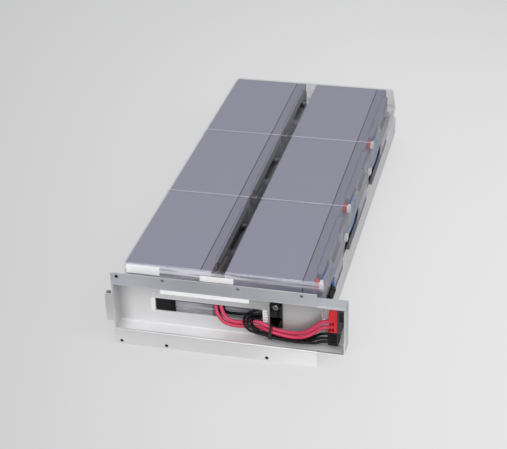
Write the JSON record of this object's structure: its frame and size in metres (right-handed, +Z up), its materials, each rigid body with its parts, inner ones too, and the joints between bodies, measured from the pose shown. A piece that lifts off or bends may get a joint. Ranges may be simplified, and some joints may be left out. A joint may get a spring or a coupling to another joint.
{
  "type": "ups battery cartridge",
  "caption": "Replaceable battery cartridge: sealed lead-acid blocks in a clear clamshell behind a folded steel front bracket with output leads and plugs.",
  "frame": {"origin": "bottom centre of the part's box, on the surface it stands on", "axes": "+X along the front bracket towards the plugs, +Y from the bracket to the far end, +Z up"},
  "size_m": [0.2358, 0.4964, 0.0813],
  "materials": {
    "zinc_steel": "zinc plated sheet, satin, with faint rolling marks",
    "clear_sheet": "clear thermoformed sheet",
    "battery_case": "fine grained grey moulding",
    "terminal_red": "moulded red",
    "terminal_black": "moulded black",
    "sleeve_white": "moulded white nylon",
    "lead_blue": "blue wire insulation",
    "lead_red": "red wire insulation",
    "lead_black": "black wire insulation",
    "fuse_black": "moulded black",
    "plug_red": "moulded red",
    "plug_black": "moulded black",
    "holder_black": "moulded black",
    "milky_nylon": "milky moulding",
    "rivet_white": "white push rivet",
    "clamp_black": "moulded black",
    "screw_steel": "bright plated",
    "tie_black": "moulded black",
    "insert_steel": "plated",
    "edge_white": "white nylon",
    "foam_black": "closed-cell foam",
    "label_white": "bare white label"
  },
  "bodies": {
    "root": {"battery_jar_left_1": "battery_case", "battery_jar_left_2": "battery_case", "battery_jar_left_3": "battery_case", "battery_jar_right_1": "battery_case", "battery_jar_right_2": "battery_case", "battery_jar_right_3": "battery_case", "battery_lid_left_1": "battery_case", "battery_lid_left_2": "battery_case", "battery_lid_left_3": "battery_case", "battery_lid_right_1": "battery_case", "battery_lid_right_2": "battery_case", "battery_lid_right_3": "battery_case", "black_housing": "plug_black", "black_lead_1": "lead_black", "black_lead_2": "lead_black", "black_lead_3": "lead_black", "cable_clamp": "clamp_black", "cable_tie": "tie_black", "clamp_screw": "screw_steel", "connector_holder": "holder_black", "edge_strip_left": "edge_white", "edge_strip_right": "edge_white", "flange_nut": "insert_steel", "front_bracket": "zinc_steel", "fuse_holder": "fuse_black", "holder_clip": "milky_nylon", "holder_rivet": "rivet_white", "jumper_left_1": "lead_blue", "jumper_left_2": "lead_blue", "jumper_right_1": "lead_blue", "jumper_right_2": "lead_blue", "jumper_right_front": "lead_blue", "label_left": "label_white", "label_middle": "label_white", "label_strip": "label_white", "lower_shell": "clear_sheet", "negative_sleeves": "sleeve_white", "negative_terminals": "terminal_black", "positive_sleeves": "sleeve_white", "positive_terminals": "terminal_red", "red_housing": "plug_red", "red_lead_1": "lead_red", "red_lead_2": "lead_red", "spacer_left": "foam_black", "spacer_right": "foam_black", "upper_shell": "clear_sheet"}
  },
  "joints": []
}
